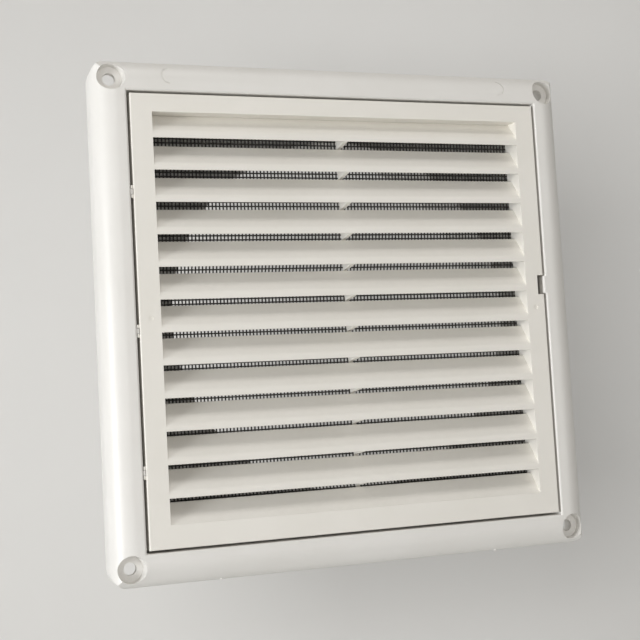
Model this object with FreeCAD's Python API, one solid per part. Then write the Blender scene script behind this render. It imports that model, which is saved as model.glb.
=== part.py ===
"""Square louvred air grille with a hinged louvre panel, an insect screen and a round duct spigot.

The wall plane is y = 0 and the grille faces -Y, with +Z up and +X to the right as seen from the
room. The origin is the middle of the wall plane. Depths are given from the front face backwards.
"""
import os
import math
import FreeCAD
import Part
from FreeCAD import Vector

# ---- wall frame ----
FRAME_SIDE = 200.0          # outer side of the square bezel
FRAME_DEPTH = 15.0          # front face to wall plane
BULLNOSE_R = 9.5            # rounding of the outer front edge
FRAME_CORNER_R = 7.5        # plan radius of the outer corners
CORNER_NOSE_R = 5.0         # rounding of the front edge at those corners
FRAME_SKIN = 2.2            # wall thickness of the hollow bezel
POCKET_HALF = 87.0          # half side of the pocket that takes the louvre panel
POCKET_WALL = 2.0           # wall round the pocket
POCKET_EDGE_R = 0.8         # rounding of the pocket's front edge
BACK_PLATE_FRONT = 12.2     # depth of the back plate's front face
BACK_PLATE = 1.2            # thickness of the back plate
RIB_THICK = 1.4             # stiffening ribs inside the bezel
RIB_PITCH = 29.0            # spacing of the ribs
RIB_COUNT = 5               # ribs on each side of the bezel
RIB_BACK_GAP = 1.0          # how far the ribs end in front of the wall plane

# ---- screw wells ----
SCREW_HALF = 92.5           # the four screws lie at +- this, in x and in z
WELL_R = 5.4                # mouth radius of a well
WELL_FLOOR_R = 4.9          # radius at the floor of a well
WELL_DEPTH = 6.4            # depth of the floor that the screw head bears on
WELL_FLOOR = 2.4            # thickness of that floor
SCREW_HOLE_R = 2.4          # through hole for a 4.5 mm screw
BOSS_R = 7.0                # outer radius of the tube round each well
BOSS_BACK_R = 4.4           # hollow behind the floor

# ---- round opening and duct spigot ----
SPIGOT_R = 74.0             # outside radius, for a 150 mm duct
SPIGOT_WALL = 3.0           # wall of the spigot
SPIGOT_LENGTH = 25.0        # how far it stands out behind the wall plane
SPIGOT_CHAMFER = 1.2        # lead-in chamfer at the rear end
FLANGE_R = 79.0             # outer radius of its flange
FLANGE_THICK = 1.0          # thickness of its flange
CLAW_ANGLES = (45, 135, 225, 315)
CLAW_WIDTH = 9.0            # width of the claws that hold the flange
CLAW_THICK = 1.6            # radial thickness of a claw
CLAW_GAP = 0.2              # radial gap between the flange and a claw
CLAW_NOSE = 0.9             # length of a claw's nose, from its arm inwards
CLAW_PLAY = 0.05            # gap between the flange and a nose
CLAW_ROOT = 0.2             # how far a claw is sunk into the back plate

# ---- louvre panel ----
PANEL_HALF = 86.0           # half side of the panel
PANEL_SKIN = 2.0            # thickness of its border
PANEL_EDGE_R = 0.5          # rounding of its front edge
RIM_THICK = 1.6             # wall round the outer edge
RIM_DEPTH = 8.0             # depth of that wall
OPEN_HALF_X = 77.7          # half width of the louvred opening
OPEN_TOP = 78.9             # top of the opening
OPEN_BOTTOM = -77.2         # bottom of the opening
BOX_WALL = 1.6              # wall round the opening
BOX_DEPTH = 10.2            # depth of that wall, where the screen lies
BLADE_COUNT = 13
BLADE_PITCH = 12.4
BLADE_FIRST = 68.5          # lower edge of the top blade
BLADE_LIP = 2.8             # height of a blade's upright front lip
BLADE_DEPTH = 7.2           # front to rear of a blade
BLADE_RISE = 8.7            # rise of a blade over its depth
BLADE_TOP_R = 0.3           # rounding of a blade's rear top edge
BLADE_LIP_R = 0.25          # rounding of its lower edges
BLADE_BLEND_R = 2.4         # rounding between the lip and the slope
WEB_THICK = 1.6             # upright web behind the blades
WEB_X = 0.55                # its middle, a little right of the panel's middle
WEB_FRONT = 0.3             # where the web starts under a blade
WEB_SEAT = 0.3              # how far it reaches into a blade's rear end
WEB_FOOT_GAP = 2.1          # how far behind a blade's rear edge the web's front slope ends
WEB_HEEL = 2.4              # height over a blade's lower edge where the rear slope starts
WEB_FOOT = 0.3              # width of the web's foot, front to rear
DIMPLE_X = 81.6             # small round gate marks on the border
DIMPLE_R = 1.0
DIMPLE_DEPTH = 0.25

# ---- finger notch and catch on the right edge ----
NOTCH_MID_Z = 9.45
NOTCH_HEIGHT = 8.1
NOTCH_DEPTH_X = 2.9
NOTCH_WALL_DEPTH = 7.2      # depth of the wall behind the notch, clear of the screen retainer
TONGUE_HEIGHT = 7.1
TONGUE_REACH = 1.0          # how far the frame's tongue stands into the notch
TONGUE_DEPTH = 3.5
TONGUE_R = 0.8
TONGUE_ROOT = 1.2           # how far it is sunk into the bezel
CATCH_DEPTHS = (4.6, 6.2)   # catch nose on the panel, behind the tongue
CATCH_REACH = 2.2           # clears the tongue as the panel swings open
CATCH_HEIGHT = 6.0

# ---- hinges on the left edge ----
HINGE_X = -86.5             # hinge axis, upright in the middle of the left seam
HINGE_DEPTH = 0.8
HINGE_Z = (48.1, -4.6, -57.3)
KNUCKLE_R = 0.45
KNUCKLE_CLEAR = 0.3         # room round a knuckle in the part that it faces
FRAME_KNUCKLE = 1.8         # length of the frame's knuckle
PANEL_KNUCKLE = 1.3         # length of each of the panel's two knuckles
KNUCKLE_GAP = 0.2
STRAP_THICK = 0.9           # web that carries a knuckle
STRAP_REACH = 2.2
STRAP_RISE = 0.1            # how far a strap stands in front of the hinge axis
PIN_R = 0.2
PIN_RUNNING = 0.03          # radial clearance of the pin in the panel's knuckles
BORE_EXTRA = 0.5            # how far that bore runs past the knuckles

# ---- insect screen and its retainer ----
SCREEN_THICK = 0.45
RETAINER_PLATE = 1.1        # part behind the screen
RETAINER_SKIRT = 1.4        # wall that grips the panel's inner box
RETAINER_SKIRT_LEN = 3.0
RETAINER_LIP = 0.3          # how far its opening stands back from the box wall's inside
TAB_WIDTH = 12.0            # thumb tabs at the middle of each side
TAB_REACH = 2.2

# ---- small moulding marks on the frame ----
MARK_X = 70.2
MARK_Z = 93.2
MARK_R = 3.3
MARK_WIDTH = 0.5
MARK_DEPTH = 0.3
NUB_X = 58.0
NUB_DEPTH = 6.0
NUB_R = 0.6
NUB_Z = -99.3

EPS = 0.01
OVER = 1.0                  # how far a cutter runs past the faces that it opens
ALONG = 0.9                 # cosine above which an edge counts as along a direction


def y_at(depth):
    """The y of a depth behind the front face."""
    return depth - FRAME_DEPTH


def block(x0, x1, depth0, depth1, z0, z1):
    """A box from its x range, its depth range and its z range."""
    size = (x1 - x0, depth1 - depth0, z1 - z0)
    return Part.makeBox(size[0], size[1], size[2], Vector(x0, y_at(depth0), z0))


def disc(radius, depth0, depth1, x=0.0, z=0.0):
    """A cylinder along y between two depths."""
    start = Vector(x, y_at(depth0), z)
    return Part.makeCylinder(radius, depth1 - depth0, start, Vector(0, 1, 0))


def upright(radius, z0, z1, x=HINGE_X, depth=HINGE_DEPTH):
    """A cylinder along z, on the hinge axis unless told otherwise."""
    return Part.makeCylinder(radius, z1 - z0, Vector(x, y_at(depth), z0), Vector(0, 0, 1))


def ring(radius, width, depth0, depth1, x=0.0, z=0.0):
    """A flat ring with the given outer radius and width."""
    return disc(radius, depth0, depth1, x, z).cut(disc(radius - width, depth0 - OVER, depth1 + OVER, x, z))


def fuse_all(shapes):
    """One shape from many."""
    return shapes[0].multiFuse(shapes[1:]).removeSplitter()


def edges_where(shape, test):
    """The edges whose two ends both pass a test."""
    return [e for e in shape.Edges if all(test(v.Point) for v in e.Vertexes)]


def runs_along(edge, direction):
    """True for an edge that starts along a direction."""
    return abs(edge.tangentAt(edge.FirstParameter).dot(direction)) > ALONG


def pillow(half, depth0, depth1, nose_r, corner_r, corner_nose_r):
    """A square block with a rounded front edge, mitred at its corners, and rounded in plan."""
    body = block(-half, half, depth0, depth1, -half, half)
    front = y_at(depth0)

    def on_front(point):
        return abs(point.y - front) < EPS

    sides = [e for e in edges_where(body, on_front) if runs_along(e, Vector(0, 0, 1))]
    levels = [e for e in edges_where(body, on_front) if runs_along(e, Vector(1, 0, 0))]
    shape = body.makeFillet(nose_r, sides).common(body.makeFillet(nose_r, levels))
    plan = block(-half, half, depth0, depth1, -half, half)
    corners = [e for e in plan.Edges if runs_along(e, Vector(0, 1, 0))]
    plan = plan.makeFillet(corner_r, corners)
    return shape.common(plan.makeFillet(corner_nose_r, edges_where(plan, on_front)))


def bezel_form(inset, depth1):
    """The bezel's outer form, or the same form moved inwards all over."""
    return pillow(FRAME_SIDE / 2 - inset, inset, depth1, BULLNOSE_R - inset,
                  FRAME_CORNER_R - inset, CORNER_NOSE_R - inset)


def rounded_outline(points, radii):
    """A closed wire in the depth-z plane with each corner rounded by its own radius."""
    count = len(points)
    corners = []
    for i in range(count):
        here = Vector(points[i][0], points[i][1], 0)
        back = (Vector(points[i - 1][0], points[i - 1][1], 0) - here).normalize()
        ahead = (Vector(*points[(i + 1) % count], 0) - here).normalize()
        if radii[i] == 0:
            corners.append((here, here, here))
            continue
        half = back.getAngle(ahead) / 2
        reach = radii[i] / math.tan(half)
        inward = (back + ahead).normalize()
        middle = here + inward * (radii[i] / math.sin(half) - radii[i])
        corners.append((here + back * reach, middle, here + ahead * reach))

    def place(flat):
        return Vector(0, y_at(flat.x), flat.y)

    edges = []
    for i in range(count):
        start, middle, end = corners[i]
        if (start - end).Length > EPS:
            edges.append(Part.Arc(place(start), place(middle), place(end)).toShape())
        following = corners[(i + 1) % count][0]
        edges.append(Part.makeLine(place(end), place(following)))
    return Part.Wire(edges)


def along_x(wire, x0, x1):
    """Extrude an outline in the depth-z plane from x0 to x1."""
    solid = Part.Face(wire).extrude(Vector(x1 - x0, 0, 0))
    solid.translate(Vector(x0, 0, 0))
    return solid


# ---------------------------------------------------------------- wall frame

def bezel_ribs():
    """Stiffening ribs across the hollow of each side of the bezel."""
    ribs = []
    outer = FRAME_SIDE / 2 - FRAME_SKIN / 2
    inner = POCKET_HALF + POCKET_WALL / 2
    start = -RIB_PITCH * (RIB_COUNT - 1) / 2
    for i in range(RIB_COUNT):
        mid = start + i * RIB_PITCH
        low, high = mid - RIB_THICK / 2, mid + RIB_THICK / 2
        depths = (FRAME_SKIN / 2, FRAME_DEPTH - RIB_BACK_GAP)
        ribs.append(block(inner, outer, *depths, low, high))
        ribs.append(block(-outer, -inner, *depths, low, high))
        ribs.append(block(low, high, *depths, inner, outer))
        ribs.append(block(low, high, *depths, -outer, -inner))
    inside = bezel_form(FRAME_SKIN / 2, FRAME_DEPTH)
    return [rib.common(inside) for rib in ribs]


def well_cutter(x, z):
    """The space of one screw well: tapered mouth, screw hole and the hollow behind."""
    mouth = Part.makeCone(WELL_R, WELL_FLOOR_R, WELL_DEPTH, Vector(x, y_at(0), z), Vector(0, 1, 0))
    ahead = disc(WELL_R, -OVER, EPS, x, z)
    hole = disc(SCREW_HOLE_R, WELL_DEPTH - EPS, FRAME_DEPTH, x, z)
    hollow = disc(BOSS_BACK_R, WELL_DEPTH + WELL_FLOOR, FRAME_DEPTH + OVER, x, z)
    return [mouth, ahead, hole, hollow]


def spigot_claws():
    """Snap claws behind the back plate that hold the flange of the spigot."""
    claws = []
    back = BACK_PLATE_FRONT + BACK_PLATE
    nose_depth = back + FLANGE_THICK + CLAW_PLAY
    for angle in CLAW_ANGLES:
        inner = FLANGE_R + CLAW_GAP
        arm = block(inner, inner + CLAW_THICK, back - CLAW_ROOT, FRAME_DEPTH,
                    -CLAW_WIDTH / 2, CLAW_WIDTH / 2)
        nose = block(inner - CLAW_NOSE, inner + EPS, nose_depth, FRAME_DEPTH,
                     -CLAW_WIDTH / 2, CLAW_WIDTH / 2)
        claw = arm.fuse(nose)
        claw.rotate(Vector(0, 0, 0), Vector(0, 1, 0), angle)
        claws.append(claw)
    return claws


def frame_knuckles():
    """The frame's middle knuckle at each hinge, on a short strap from the pocket's edge."""
    parts = []
    for z in HINGE_Z:
        low, high = z - FRAME_KNUCKLE / 2, z + FRAME_KNUCKLE / 2
        strap = block(HINGE_X - STRAP_REACH, HINGE_X, HINGE_DEPTH - STRAP_RISE,
                      HINGE_DEPTH - STRAP_RISE + STRAP_THICK, low, high)
        parts.append(strap.fuse(upright(KNUCKLE_R, low, high)))
    return parts


def panel_knuckle_spans(z):
    """The z ranges of the panel's two knuckles at one hinge."""
    inner = FRAME_KNUCKLE / 2 + KNUCKLE_GAP
    outer = inner + PANEL_KNUCKLE
    return [(z + inner, z + outer), (z - outer, z - inner)]


def crescent(side):
    """A curved groove of even depth in the top bar's rounded face, the outer half of a ring."""
    mark = ring(MARK_R, MARK_WIDTH, -OVER, FRAME_SKIN, side * MARK_X, MARK_Z)
    mark = mark.cut(bezel_form(MARK_DEPTH, FRAME_DEPTH))
    x0, x1 = sorted((side * MARK_X, side * (MARK_X + 2 * MARK_R)))
    return mark.common(block(x0, x1, -2 * OVER, FRAME_SKIN + OVER, MARK_Z - 2 * MARK_R, MARK_Z + 2 * MARK_R))


def make_wall_frame():
    """Hollow bezel, pocket, back plate, screw wells, hinge knuckles and catch tongue."""
    body = bezel_form(0, FRAME_DEPTH)
    body = body.cut(block(-POCKET_HALF, POCKET_HALF, -OVER, BACK_PLATE_FRONT, -POCKET_HALF, POCKET_HALF))

    def on_pocket_edge(point):
        side = max(abs(point.x), abs(point.z))
        return abs(point.y - y_at(0)) < EPS and abs(side - POCKET_HALF) < EPS

    body = body.makeFillet(POCKET_EDGE_R, edges_where(body, on_pocket_edge))
    core = POCKET_HALF + POCKET_WALL
    hollow = bezel_form(FRAME_SKIN, FRAME_DEPTH + OVER)
    hollow = hollow.cut(block(-core, core, -OVER, FRAME_DEPTH + 2 * OVER, -core, core))
    body = body.cut(hollow)
    back = BACK_PLATE_FRONT + BACK_PLATE
    body = body.cut(block(-POCKET_HALF, POCKET_HALF, back, FRAME_DEPTH + OVER, -POCKET_HALF, POCKET_HALF))
    body = body.cut(disc(SPIGOT_R - SPIGOT_WALL, BACK_PLATE_FRONT - OVER, back + OVER))

    envelope = bezel_form(0, FRAME_DEPTH)
    added = bezel_ribs() + spigot_claws() + frame_knuckles()
    cutters = []
    for sx in (-1, 1):
        for sz in (-1, 1):
            x, z = sx * SCREW_HALF, sz * SCREW_HALF
            boss = disc(BOSS_R, 0, FRAME_DEPTH, x, z).common(envelope)
            keep_out = block(-POCKET_HALF, POCKET_HALF, -OVER, FRAME_DEPTH + OVER,
                             -POCKET_HALF, POCKET_HALF)
            added.append(boss.cut(keep_out))
            cutters += well_cutter(x, z)
    tongue = block(POCKET_HALF - TONGUE_REACH, POCKET_HALF + TONGUE_ROOT, 0, TONGUE_DEPTH,
                   NOTCH_MID_Z - TONGUE_HEIGHT / 2, NOTCH_MID_Z + TONGUE_HEIGHT / 2)

    def on_tongue_edge(point):
        return abs(point.y - y_at(0)) < EPS and abs(point.x - POCKET_HALF + TONGUE_REACH) < EPS

    added.append(tongue.makeFillet(TONGUE_R, edges_where(tongue, on_tongue_edge)))
    added += [Part.makeSphere(NUB_R, Vector(s * NUB_X, y_at(NUB_DEPTH), NUB_Z)) for s in (-1, 1)]
    body = fuse_all([body] + added)
    for z in HINGE_Z:
        for low, high in panel_knuckle_spans(z):
            cutters.append(upright(KNUCKLE_R + KNUCKLE_CLEAR, low - KNUCKLE_GAP, high + KNUCKLE_GAP))
        cutters.append(upright(PIN_R, z - FRAME_KNUCKLE, z + FRAME_KNUCKLE))
    cutters += [crescent(-1), crescent(1)]
    for cutter in cutters:
        body = body.cut(cutter)
    return body


# ---------------------------------------------------------------- duct spigot

def make_duct_spigot():
    """Flanged sleeve with a chamfered end."""
    back = BACK_PLATE_FRONT + BACK_PLATE
    end = FRAME_DEPTH + SPIGOT_LENGTH
    sleeve = disc(SPIGOT_R, back, end)
    sleeve = sleeve.makeChamfer(SPIGOT_CHAMFER, [e for e in sleeve.Edges
                                                 if abs(e.CenterOfMass.y - y_at(end)) < EPS
                                                 and e.Closed])
    sleeve = sleeve.fuse(disc(FLANGE_R, back, back + FLANGE_THICK))
    return sleeve.cut(disc(SPIGOT_R - SPIGOT_WALL, back - OVER, end + OVER))


# ---------------------------------------------------------------- louvre panel

def blade_bottom(index):
    """The z of a blade's lower front edge."""
    return BLADE_FIRST - index * BLADE_PITCH


def blade(index):
    """One slanted blade with an upright front lip and a rounded rear top edge."""
    low = blade_bottom(index)
    points = [(0.0, low),
              (0.0, low + BLADE_LIP),
              (BLADE_DEPTH, low + BLADE_LIP + BLADE_RISE),
              (BLADE_DEPTH, low + BLADE_RISE)]
    outline = rounded_outline(points, (BLADE_LIP_R, BLADE_BLEND_R, BLADE_TOP_R, BLADE_LIP_R))
    return along_x(outline, -OPEN_HALF_X - BOX_WALL / 2, OPEN_HALF_X + BOX_WALL / 2)


def web_under(index):
    """The part of the upright web under one blade: a tooth that narrows to the next blade's rear edge."""
    low = blade_bottom(index)
    slope = BLADE_RISE / BLADE_DEPTH
    inside = BLADE_LIP / 2
    top = low + BLADE_LIP + BLADE_RISE
    under = top - BLADE_PITCH
    seat = BLADE_DEPTH - WEB_SEAT
    foot = BLADE_DEPTH + WEB_FOOT_GAP
    points = [(WEB_FRONT, low + WEB_FRONT * slope),
              (WEB_FRONT, low + WEB_FRONT * slope + inside),
              (seat, top - inside),
              (foot, top),
              (foot + WEB_FOOT, top),
              (BOX_DEPTH, low + WEB_HEEL),
              (foot + WEB_FOOT, under),
              (foot, under)]
    outline = rounded_outline(points, (0,) * len(points))
    return along_x(outline, WEB_X - WEB_THICK / 2, WEB_X + WEB_THICK / 2)


def louvre_core():
    """All blades and the web, trimmed to the box round the opening."""
    trim = block(-OPEN_HALF_X - BOX_WALL / 2, OPEN_HALF_X + BOX_WALL / 2, 0, BOX_DEPTH,
                 OPEN_BOTTOM - BOX_WALL / 2, OPEN_TOP + BOX_WALL / 2)
    pieces = [blade(i) for i in range(BLADE_COUNT)] + [web_under(i) for i in range(BLADE_COUNT)]
    return [piece.common(trim) for piece in pieces]


def panel_knuckles():
    """The panel's two knuckles at each hinge, on short straps from its left edge."""
    parts = []
    for z in HINGE_Z:
        for low, high in panel_knuckle_spans(z):
            strap = block(HINGE_X, HINGE_X + STRAP_REACH, HINGE_DEPTH - STRAP_RISE,
                          HINGE_DEPTH - STRAP_RISE + STRAP_THICK, low, high)
            parts.append(strap.fuse(upright(KNUCKLE_R, low, high)))
    return parts


def make_louvre_panel():
    """Border, outer rim, box round the opening, blades, web, knuckles and catch nose."""
    half = PANEL_HALF
    border = block(-half, half, 0, RIM_DEPTH, -half, half)

    def on_front(point):
        return abs(point.y - y_at(0)) < EPS

    border = border.makeFillet(PANEL_EDGE_R, edges_where(border, on_front))
    inner = half - RIM_THICK
    border = border.cut(block(-inner, inner, PANEL_SKIN, RIM_DEPTH + OVER, -inner, inner))
    box = block(-OPEN_HALF_X - BOX_WALL, OPEN_HALF_X + BOX_WALL, PANEL_SKIN / 2, BOX_DEPTH,
                OPEN_BOTTOM - BOX_WALL, OPEN_TOP + BOX_WALL)
    opening = block(-OPEN_HALF_X, OPEN_HALF_X, -OVER, BOX_DEPTH + OVER, OPEN_BOTTOM, OPEN_TOP)
    body = border.fuse(box).cut(opening)

    notch_low, notch_high = NOTCH_MID_Z - NOTCH_HEIGHT / 2, NOTCH_MID_Z + NOTCH_HEIGHT / 2
    body = body.cut(block(half - NOTCH_DEPTH_X, half + OVER, -OVER, RIM_DEPTH + OVER,
                          notch_low, notch_high))
    nose_x = half - NOTCH_DEPTH_X
    wall = block(nose_x - RIM_THICK, nose_x, PANEL_SKIN / 2, NOTCH_WALL_DEPTH,
                 notch_low - RIM_THICK, notch_high + RIM_THICK)
    nose = block(nose_x - EPS, nose_x + CATCH_REACH, CATCH_DEPTHS[0], CATCH_DEPTHS[1],
                 NOTCH_MID_Z - CATCH_HEIGHT / 2, NOTCH_MID_Z + CATCH_HEIGHT / 2)
    body = fuse_all([body, wall, nose] + louvre_core() + panel_knuckles())
    for z in HINGE_Z:
        reach = FRAME_KNUCKLE / 2 + KNUCKLE_GAP
        body = body.cut(upright(KNUCKLE_R + KNUCKLE_CLEAR, z - reach, z + reach))
        length = reach + PANEL_KNUCKLE + BORE_EXTRA
        body = body.cut(upright(PIN_R + PIN_RUNNING, z - length, z + length))
    for side in (-1, 1):
        body = body.cut(disc(DIMPLE_R, -OVER, DIMPLE_DEPTH, side * DIMPLE_X, 0))
    return body


# ---------------------------------------------------------------- screen, retainer, pins

def make_insect_screen():
    """The mesh as a thin sheet over the rear of the panel's box."""
    return block(-OPEN_HALF_X - BOX_WALL, OPEN_HALF_X + BOX_WALL, BOX_DEPTH, BOX_DEPTH + SCREEN_THICK,
                 OPEN_BOTTOM - BOX_WALL, OPEN_TOP + BOX_WALL)


def make_screen_retainer():
    """Square ring behind the screen with a skirt that grips the box, and four thumb tabs."""
    x_out = OPEN_HALF_X + BOX_WALL + RETAINER_SKIRT
    z_top = OPEN_TOP + BOX_WALL + RETAINER_SKIRT
    z_bottom = OPEN_BOTTOM - BOX_WALL - RETAINER_SKIRT
    rear = BOX_DEPTH + SCREEN_THICK + RETAINER_PLATE
    front = rear - RETAINER_PLATE - RETAINER_SKIRT_LEN
    body = block(-x_out, x_out, front, rear, z_bottom, z_top)
    corners = [e for e in body.Edges if runs_along(e, Vector(0, 1, 0))]
    body = body.makeFillet(RETAINER_SKIRT, corners)
    body = body.cut(block(-x_out + RETAINER_SKIRT, x_out - RETAINER_SKIRT, front - OVER,
                          rear - RETAINER_PLATE, z_bottom + RETAINER_SKIRT, z_top - RETAINER_SKIRT))
    hole = OPEN_HALF_X + RETAINER_LIP
    body = body.cut(block(-hole, hole, front - OVER, rear + OVER, OPEN_BOTTOM - RETAINER_LIP,
                          OPEN_TOP + RETAINER_LIP))
    reach = TAB_WIDTH / 2
    tabs = [block(x_out - EPS, x_out + TAB_REACH, rear - RETAINER_PLATE, rear, -reach, reach),
            block(-x_out - TAB_REACH, -x_out + EPS, rear - RETAINER_PLATE, rear, -reach, reach),
            block(-reach, reach, rear - RETAINER_PLATE, rear, z_top - EPS, z_top + TAB_REACH),
            block(-reach, reach, rear - RETAINER_PLATE, rear, z_bottom - TAB_REACH, z_bottom + EPS)]
    return fuse_all([body] + tabs)


def make_hinge_pin(z):
    """One wire pin, as long as the three knuckles it joins."""
    reach = FRAME_KNUCKLE / 2 + KNUCKLE_GAP + PANEL_KNUCKLE
    return upright(PIN_R, z - reach, z + reach)


def main():
    os.makedirs("parts", exist_ok=True)
    nodes = {
        "wall_frame": make_wall_frame(),
        "duct_spigot": make_duct_spigot(),
        "louvre_panel": make_louvre_panel(),
        "insect_screen": make_insect_screen(),
        "screen_retainer": make_screen_retainer(),
        "hinge_pin_upper": make_hinge_pin(HINGE_Z[0]),
        "hinge_pin_middle": make_hinge_pin(HINGE_Z[1]),
        "hinge_pin_lower": make_hinge_pin(HINGE_Z[2]),
    }
    for name, shape in nodes.items():
        solids = shape.Solids
        print(name, "solids", len(solids), "valid", shape.isValid(), "volume", round(shape.Volume, 1))
        shape.exportStep(os.path.join("parts", name + ".step"))


main()
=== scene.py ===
"""Looks of the louvred air grille: moulded plastic, steel pins and a woven insect screen."""
import math
import bpy
import numpy as np
from mathutils import Matrix, Vector


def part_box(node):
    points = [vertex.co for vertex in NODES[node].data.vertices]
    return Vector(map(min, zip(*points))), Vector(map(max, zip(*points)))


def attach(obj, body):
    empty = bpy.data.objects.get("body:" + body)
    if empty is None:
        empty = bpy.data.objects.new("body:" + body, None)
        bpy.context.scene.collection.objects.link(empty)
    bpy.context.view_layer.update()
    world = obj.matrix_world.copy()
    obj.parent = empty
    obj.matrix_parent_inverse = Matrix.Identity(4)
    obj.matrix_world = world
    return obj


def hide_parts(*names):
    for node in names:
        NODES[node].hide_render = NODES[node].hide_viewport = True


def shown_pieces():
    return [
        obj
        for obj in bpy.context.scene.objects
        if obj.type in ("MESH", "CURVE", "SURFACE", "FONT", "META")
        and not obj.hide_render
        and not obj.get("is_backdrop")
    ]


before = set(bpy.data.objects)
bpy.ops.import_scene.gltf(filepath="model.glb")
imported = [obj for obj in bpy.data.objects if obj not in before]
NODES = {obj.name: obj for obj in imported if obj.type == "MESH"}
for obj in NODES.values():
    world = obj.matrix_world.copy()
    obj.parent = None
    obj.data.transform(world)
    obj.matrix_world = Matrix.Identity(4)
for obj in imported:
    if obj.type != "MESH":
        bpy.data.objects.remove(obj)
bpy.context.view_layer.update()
MM = 0.001

# ---- woven screen ----
WARP_PITCH = 1.46 * MM        # spacing of the upright threads
WEFT_PITCH = 1.67 * MM        # spacing of the level threads
THREAD_HALF_WIDTH = 0.27 * MM
THREAD_HALF_DEPTH = 0.12 * MM
WEAVE_HALF_SWING = 0.10 * MM  # how far a thread goes over and under
SCREEN_EDGE = 0.15 * MM       # how far the threads end inside the clamped edge
BOW = 2.5 * MM                # sideways bow of the upright threads in the lower half
BOW_TOP = 35.0 * MM           # height where the bow starts
BOW_FULL = 10.0 * MM          # height where it is full
BOW_FADE = 20.0 * MM          # length over which it fades out at the bottom

# ---- camera, worked out for the 640 x 640 frame ----
CAMERA_AT = (-0.16434, -0.44416, -0.03434)
CAMERA_RIGHT = (0.94410, -0.32490, -0.05572)
CAMERA_UP = (0.02987, -0.08400, 0.99602)
CAMERA_FORWARD = (0.32829, 0.94201, 0.06960)
CAMERA_LENS = 65.2            # millimetres, for the sensor below
CAMERA_SENSOR = 36.0
CAMERA_NEAR, CAMERA_FAR = 0.01, 20.0

# ---- yarn and pins ----
YARN_TINTS = ((0.022, 0.020, 0.019), (0.045, 0.041, 0.037))   # clean and dusty
YARN_DUST_SCALE = 300.0
YARN_COAT_SCALE = 5200.0
WIRE_TINTS = ((0.56, 0.56, 0.55), (0.44, 0.43, 0.42))
WIRE_STRETCH = (9000.0, 9000.0, 300.0)                        # noise cells a metre, long along z

# ---- plastic ----
FRAME_TINTS = ((0.83, 0.815, 0.785), (0.79, 0.775, 0.74))     # lighter and darker flow of each moulding
SPIGOT_TINTS = ((0.80, 0.79, 0.77), (0.76, 0.75, 0.72))
PANEL_TINTS = ((0.87, 0.845, 0.79), (0.835, 0.81, 0.75))
RETAINER_TINTS = ((0.80, 0.79, 0.76), (0.76, 0.745, 0.71))
DUST_TINT = (0.66, 0.63, 0.57)
FLOW_SCALE = 28.0             # noise scales, in cells a metre
DUST_SCALE = 420.0
WEAR_SCALE = 160.0
GRAIN_SCALE = 2600.0
WAVE_SCALE = 55.0
DUST_FROM_UP = 0.45           # upward part of the normal where dust starts to lie
DUST_FULL_UP = 0.95
DUST_MOST = 0.35

# ---- studio ----
CENTRE = (0.0, 0.0, 0.0)
BACKDROP_Y = 0.75
FLOOR_Z = -0.36
COVE_R = 0.10
COVE_STEPS = 16
STAGE_HALF_X = 3.0
STAGE_FRONT_Y = -2.5
STAGE_TOP_Z = 2.6
PAPER_TINT = (0.74, 0.74, 0.73)
PAPER_SHADE = 0.985           # how much darker the paper's fibres are
WARM = (1.0, 0.985, 0.965)
COOL = (0.97, 0.985, 1.0)
WHITE = (1.0, 1.0, 1.0)
AIR_TINT = (1.0, 0.96, 0.90)
AIR_STRENGTH = 0.2


def node_tree(name):
    """A new material with its nodes, links and main shader."""
    material = bpy.data.materials.new(name)
    material.use_nodes = True
    tree = material.node_tree
    return material, tree.nodes, tree.links, tree.nodes["Principled BSDF"]


def noise(nodes, links, scale, detail, roughness=0.5):
    """Noise in metres of the object's own space."""
    where = nodes.new("ShaderNodeTexCoord")
    texture = nodes.new("ShaderNodeTexNoise")
    texture.inputs["Scale"].default_value = scale
    texture.inputs["Detail"].default_value = detail
    texture.inputs["Roughness"].default_value = roughness
    links.new(where.outputs["Object"], texture.inputs["Vector"])
    return texture.outputs["Fac"]


def spread(nodes, links, value, low, high):
    """The middle part of a noise carried to the range low to high."""
    node = nodes.new("ShaderNodeMapRange")
    node.inputs["From Min"].default_value = 0.3
    node.inputs["From Max"].default_value = 0.7
    node.inputs["To Min"].default_value = low
    node.inputs["To Max"].default_value = high
    links.new(value, node.inputs["Value"])
    return node.outputs["Result"]


def blend_colours(nodes, links, factor, first, second):
    """A mix of two colours, or of a socket and a colour."""
    node = nodes.new("ShaderNodeMix")
    node.data_type = "RGBA"
    links.new(factor, node.inputs["Factor"])
    if isinstance(first, tuple):
        node.inputs[6].default_value = (*first, 1.0)
    else:
        links.new(first, node.inputs[6])
    node.inputs[7].default_value = (*second, 1.0)
    return node.outputs[2]


def bump(nodes, links, shader, layers):
    """Bump nodes in a row, one for each (height, strength, distance)."""
    previous = None
    for height, strength, distance in layers:
        node = nodes.new("ShaderNodeBump")
        node.inputs["Strength"].default_value = strength
        node.inputs["Distance"].default_value = distance
        links.new(height, node.inputs["Height"])
        if previous is not None:
            links.new(previous, node.inputs["Normal"])
        previous = node.outputs["Normal"]
    links.new(previous, shader.inputs["Normal"])


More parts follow.
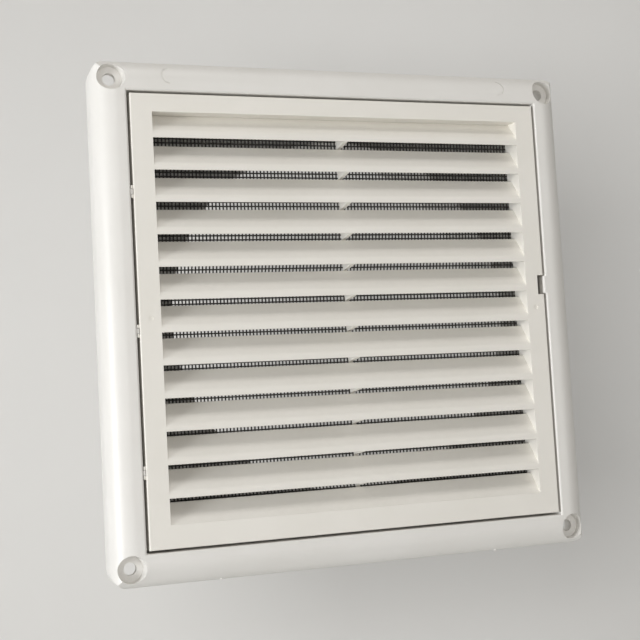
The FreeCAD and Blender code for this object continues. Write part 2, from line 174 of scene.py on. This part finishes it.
def moulded_plastic(name, tints, roughness):
    """Satin moulded plastic: slow tint flow, a fine spark-eroded grain, and dust on ledges."""
    material, nodes, links, shader = node_tree(name)
    flow = spread(nodes, links, noise(nodes, links, FLOW_SCALE, 3.0), 0.0, 1.0)
    colour = blend_colours(nodes, links, flow, *tints)
    geometry = nodes.new("ShaderNodeNewGeometry")
    split = nodes.new("ShaderNodeSeparateXYZ")
    links.new(geometry.outputs["Normal"], split.inputs["Vector"])
    ledge = nodes.new("ShaderNodeMapRange")
    ledge.inputs["From Min"].default_value = DUST_FROM_UP
    ledge.inputs["From Max"].default_value = DUST_FULL_UP
    ledge.inputs["To Max"].default_value = DUST_MOST
    links.new(split.outputs["Z"], ledge.inputs["Value"])
    patchy = nodes.new("ShaderNodeMath")
    patchy.operation = "MULTIPLY"
    links.new(ledge.outputs["Result"], patchy.inputs[0])
    links.new(spread(nodes, links, noise(nodes, links, DUST_SCALE, 4.0, 0.6), 0.2, 1.0), patchy.inputs[1])
    colour = blend_colours(nodes, links, patchy.outputs["Value"], colour, DUST_TINT)
    links.new(colour, shader.inputs["Base Color"])
    wear = noise(nodes, links, WEAR_SCALE, 5.0, 0.6)
    links.new(spread(nodes, links, wear, roughness - 0.05, roughness + 0.06), shader.inputs["Roughness"])
    shader.inputs["IOR"].default_value = 1.52
    grain = noise(nodes, links, GRAIN_SCALE, 2.0)
    waviness = noise(nodes, links, WAVE_SCALE, 2.0)
    bump(nodes, links, shader, [(waviness, 0.25, 0.00012), (grain, 0.35, 0.00002)])
    return material


def drawn_steel(name):
    """Drawn wire: fine scratches along z and uneven polish."""
    material, nodes, links, shader = node_tree(name)
    where = nodes.new("ShaderNodeTexCoord")
    stretch = nodes.new("ShaderNodeMapping")
    stretch.inputs["Scale"].default_value = WIRE_STRETCH
    links.new(where.outputs["Object"], stretch.inputs["Vector"])
    lines = nodes.new("ShaderNodeTexNoise")
    lines.inputs["Scale"].default_value = 1.0
    lines.inputs["Detail"].default_value = 3.0
    links.new(stretch.outputs["Vector"], lines.inputs["Vector"])
    colour = blend_colours(nodes, links, lines.outputs["Fac"], *WIRE_TINTS)
    links.new(colour, shader.inputs["Base Color"])
    links.new(spread(nodes, links, lines.outputs["Fac"], 0.25, 0.42), shader.inputs["Roughness"])
    shader.inputs["Metallic"].default_value = 1.0
    bump(nodes, links, shader, [(lines.outputs["Fac"], 0.3, 0.000004)])
    return material


def coated_yarn(name):
    """Dark coated yarn with a lumpy coat and a little dust."""
    material, nodes, links, shader = node_tree(name)
    dusty = spread(nodes, links, noise(nodes, links, YARN_DUST_SCALE, 4.0, 0.6), 0.0, 1.0)
    colour = blend_colours(nodes, links, dusty, *YARN_TINTS)
    links.new(colour, shader.inputs["Base Color"])
    coat = noise(nodes, links, YARN_COAT_SCALE, 2.0)
    links.new(spread(nodes, links, coat, 0.42, 0.6), shader.inputs["Roughness"])
    shader.inputs["IOR"].default_value = 1.5
    bump(nodes, links, shader, [(coat, 0.4, 0.00002)])
    return material


def stage_paper(name, colour):
    """Plain matt studio paper."""
    material, nodes, links, shader = node_tree(name)
    fibre = spread(nodes, links, noise(nodes, links, 6.0, 3.0), 0.0, 1.0)
    darker = tuple(PAPER_SHADE * c for c in colour)
    links.new(blend_colours(nodes, links, fibre, colour, darker), shader.inputs["Base Color"])
    shader.inputs["Roughness"].default_value = 0.95
    return material


def dress(node, material):
    """Give a CAD node its finish."""
    mesh = NODES[node].data
    mesh.materials.clear()
    mesh.materials.append(material)


def smooth_step(value, start, end):
    """0 at start, 1 at end, smooth in between."""
    share = np.clip((value - start) / (end - start), 0.0, 1.0)
    return share * share * (3.0 - 2.0 * share)


def bowed(x, z, low, high):
    """The sideways shift of the weave at a place: the upright threads bow a little low down."""
    across = 1.0 - ((x - (low.x + high.x) / 2) / ((high.x - low.x) / 2)) ** 2
    down = smooth_step(z, BOW_TOP, BOW_FULL) * smooth_step(z, low.z, low.z + BOW_FADE)
    return x - BOW * np.clip(across, 0.0, 1.0) * down


def thread_run(points, side, verts, faces):
    """Add one flat closed thread along points, in the y and side directions."""
    first = len(verts)
    offsets = [(-1, -1), (1, -1), (1, 1), (-1, 1)]
    for p in points:
        for s, d in offsets:
            verts.append((p[0] + side[0] * s * THREAD_HALF_WIDTH,
                          p[1] + d * THREAD_HALF_DEPTH,
                          p[2] + side[1] * s * THREAD_HALF_WIDTH))
    count = len(points)
    for i in range(count - 1):
        here, ahead = first + 4 * i, first + 4 * (i + 1)
        for k in range(4):
            after = (k + 1) % 4
            faces.append((here + k, here + after, ahead + after, ahead + k))
    faces.append((first + 3, first + 2, first + 1, first))
    last = first + 4 * (count - 1)
    faces.append((last, last + 1, last + 2, last + 3))


def positions(low, high, pitch):
    """Evenly spaced places, centred between low and high."""
    count = int((high - low) / pitch)
    start = (low + high - (count - 1) * pitch) / 2
    return [start + i * pitch for i in range(count)]


def woven_screen():
    """The insect screen as plain weave: each thread passes over and under its neighbours."""
    low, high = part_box("insect_screen")
    middle = (low.y + high.y) / 2
    xs = positions(low.x + SCREEN_EDGE, high.x - SCREEN_EDGE, WARP_PITCH)
    zs = positions(low.z + SCREEN_EDGE, high.z - SCREEN_EDGE, WEFT_PITCH)
    ends_x = [low.x + SCREEN_EDGE, high.x - SCREEN_EDGE]
    ends_z = [low.z + SCREEN_EDGE, high.z - SCREEN_EDGE]
    verts, faces = [], []

    def swing(i, j):
        return WEAVE_HALF_SWING * (1 if (i + j) % 2 else -1)

    for i, x in enumerate(xs):
        run = [(x, middle, ends_z[0])]
        run += [(float(bowed(x, z, low, high)), middle + swing(i, j), z) for j, z in enumerate(zs)]
        run.append((x, middle, ends_z[1]))
        thread_run(run, (1, 0), verts, faces)
    for j, z in enumerate(zs):
        run = [(ends_x[0], middle, z)]
        run += [(float(bowed(x, z, low, high)), middle - swing(i, j), z) for i, x in enumerate(xs)]
        run.append((ends_x[1], middle, z))
        thread_run(run, (0, 1), verts, faces)
    mesh = bpy.data.meshes.new("woven_screen")
    mesh.from_pydata(verts, [], faces)
    mesh.polygons.foreach_set("use_smooth", [True] * len(mesh.polygons))
    mesh.update()
    screen = bpy.data.objects.new("woven_screen", mesh)
    bpy.context.scene.collection.objects.link(screen)
    return screen, (high.x - low.x, high.z - low.z)


def stage_sheet(name, line, paper):
    """A wide sheet of paper along a line of (y, z) points."""
    verts = [(side * STAGE_HALF_X, y, z) for y, z in line for side in (-1, 1)]
    faces = [(2 * i, 2 * i + 1, 2 * i + 3, 2 * i + 2) for i in range(len(line) - 1)]
    mesh = bpy.data.meshes.new(name)
    mesh.from_pydata(verts, [], faces)
    mesh.polygons.foreach_set("use_smooth", [True] * len(mesh.polygons))
    mesh.update()
    mesh.materials.append(paper)
    sheet = bpy.data.objects.new(name, mesh)
    bpy.context.scene.collection.objects.link(sheet)
    sheet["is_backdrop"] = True
    return sheet


def cove():
    """Floor and backdrop of one paper, joined by a curved corner. Each can have its own light."""
    paper = stage_paper("studio_paper", PAPER_TINT)
    corner = []
    for i in range(COVE_STEPS + 1):
        turn = math.pi / 2 * i / COVE_STEPS
        corner.append((BACKDROP_Y - COVE_R + COVE_R * math.sin(turn),
                       FLOOR_Z + COVE_R - COVE_R * math.cos(turn)))
    floor = stage_sheet("studio_floor", [(STAGE_FRONT_Y, FLOOR_Z), corner[0]], paper)
    backdrop = stage_sheet("studio_backdrop", corner + [(BACKDROP_Y, STAGE_TOP_Z)], paper)
    return floor, backdrop


def soft_light(name, at, size, watts, colour, lit):
    """A square area light turned to the middle of the grille. It lights only the collection lit."""
    light = bpy.data.lights.new(name, "AREA")
    light.shape = "SQUARE"
    light.size = size
    light.energy = watts
    light.color = colour
    lamp = bpy.data.objects.new(name, light)
    lamp.location = at
    lamp.rotation_euler = (Vector(CENTRE) - Vector(at)).to_track_quat("-Z", "Y").to_euler()
    lamp.visible_camera = False
    bpy.context.scene.collection.objects.link(lamp)
    lamp.light_linking.receiver_collection = lit


def receivers(name, pieces):
    """A collection of the pieces that some lights reach."""
    group = bpy.data.collections.new(name)
    for piece in pieces:
        group.objects.link(piece)
    return group


def studio_lights(backdrop, subject):
    """Lights for the backdrop alone, then lights for the grille and the floor."""
    soft_light("backdrop_light", (-0.267, -0.50, -0.013), 0.14, 8.2, WARM, backdrop)
    soft_light("backdrop_wash", (1.3, -0.6, 1.2), 0.6, 12.0, WARM, backdrop)
    soft_light("left_key", (-1.55, -0.55, -0.10), 0.45, 15.2, COOL, subject)
    soft_light("front_fill", (-0.1, -1.5, 0.15), 0.8, 5.0, WARM, subject)
    soft_light("top_fill", (-0.2, -0.6, 1.4), 0.6, 6.9, WARM, subject)
    soft_light("rear_fill", (-0.5, 0.6, 0.8), 0.5, 2.4, WHITE, subject)


def surroundings():
    """An even pale world light."""
    world = bpy.data.worlds.new("studio_air")
    bpy.context.scene.world = world
    world.use_nodes = True
    background = world.node_tree.nodes["Background"]
    background.inputs["Color"].default_value = (*AIR_TINT, 1.0)
    background.inputs["Strength"].default_value = AIR_STRENGTH


def make_camera():
    """The camera at the photograph's viewing angle."""
    data = bpy.data.cameras.new("photo_camera")
    data.lens = CAMERA_LENS
    data.sensor_width = CAMERA_SENSOR
    data.clip_start, data.clip_end = CAMERA_NEAR, CAMERA_FAR
    camera = bpy.data.objects.new("photo_camera", data)
    axes = Matrix((CAMERA_RIGHT, CAMERA_UP, tuple(-c for c in CAMERA_FORWARD))).transposed()
    camera.matrix_world = Matrix.Translation(Vector(CAMERA_AT)) @ axes.to_4x4()
    bpy.context.scene.collection.objects.link(camera)
    bpy.context.scene.camera = camera
    bpy.context.scene.view_settings.view_transform = "Standard"


dress("wall_frame", moulded_plastic("frame_abs", FRAME_TINTS, 0.40))
dress("duct_spigot", moulded_plastic("spigot_abs", SPIGOT_TINTS, 0.46))
dress("louvre_panel", moulded_plastic("panel_abs", PANEL_TINTS, 0.42))
dress("screen_retainer", moulded_plastic("retainer_abs", RETAINER_TINTS, 0.46))
steel = drawn_steel("pin_steel_wire")
for pin in ("hinge_pin_upper", "hinge_pin_middle", "hinge_pin_lower"):
    dress(pin, steel)

screen, screen_cut = woven_screen()
screen.data.materials.append(coated_yarn("screen_yarn"))
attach(screen, "panel")
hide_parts("insect_screen")

floor, backdrop = cove()
surroundings()
studio_lights(receivers("lit_backdrop", [backdrop]), receivers("lit_object", [*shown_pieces(), floor]))
make_camera()
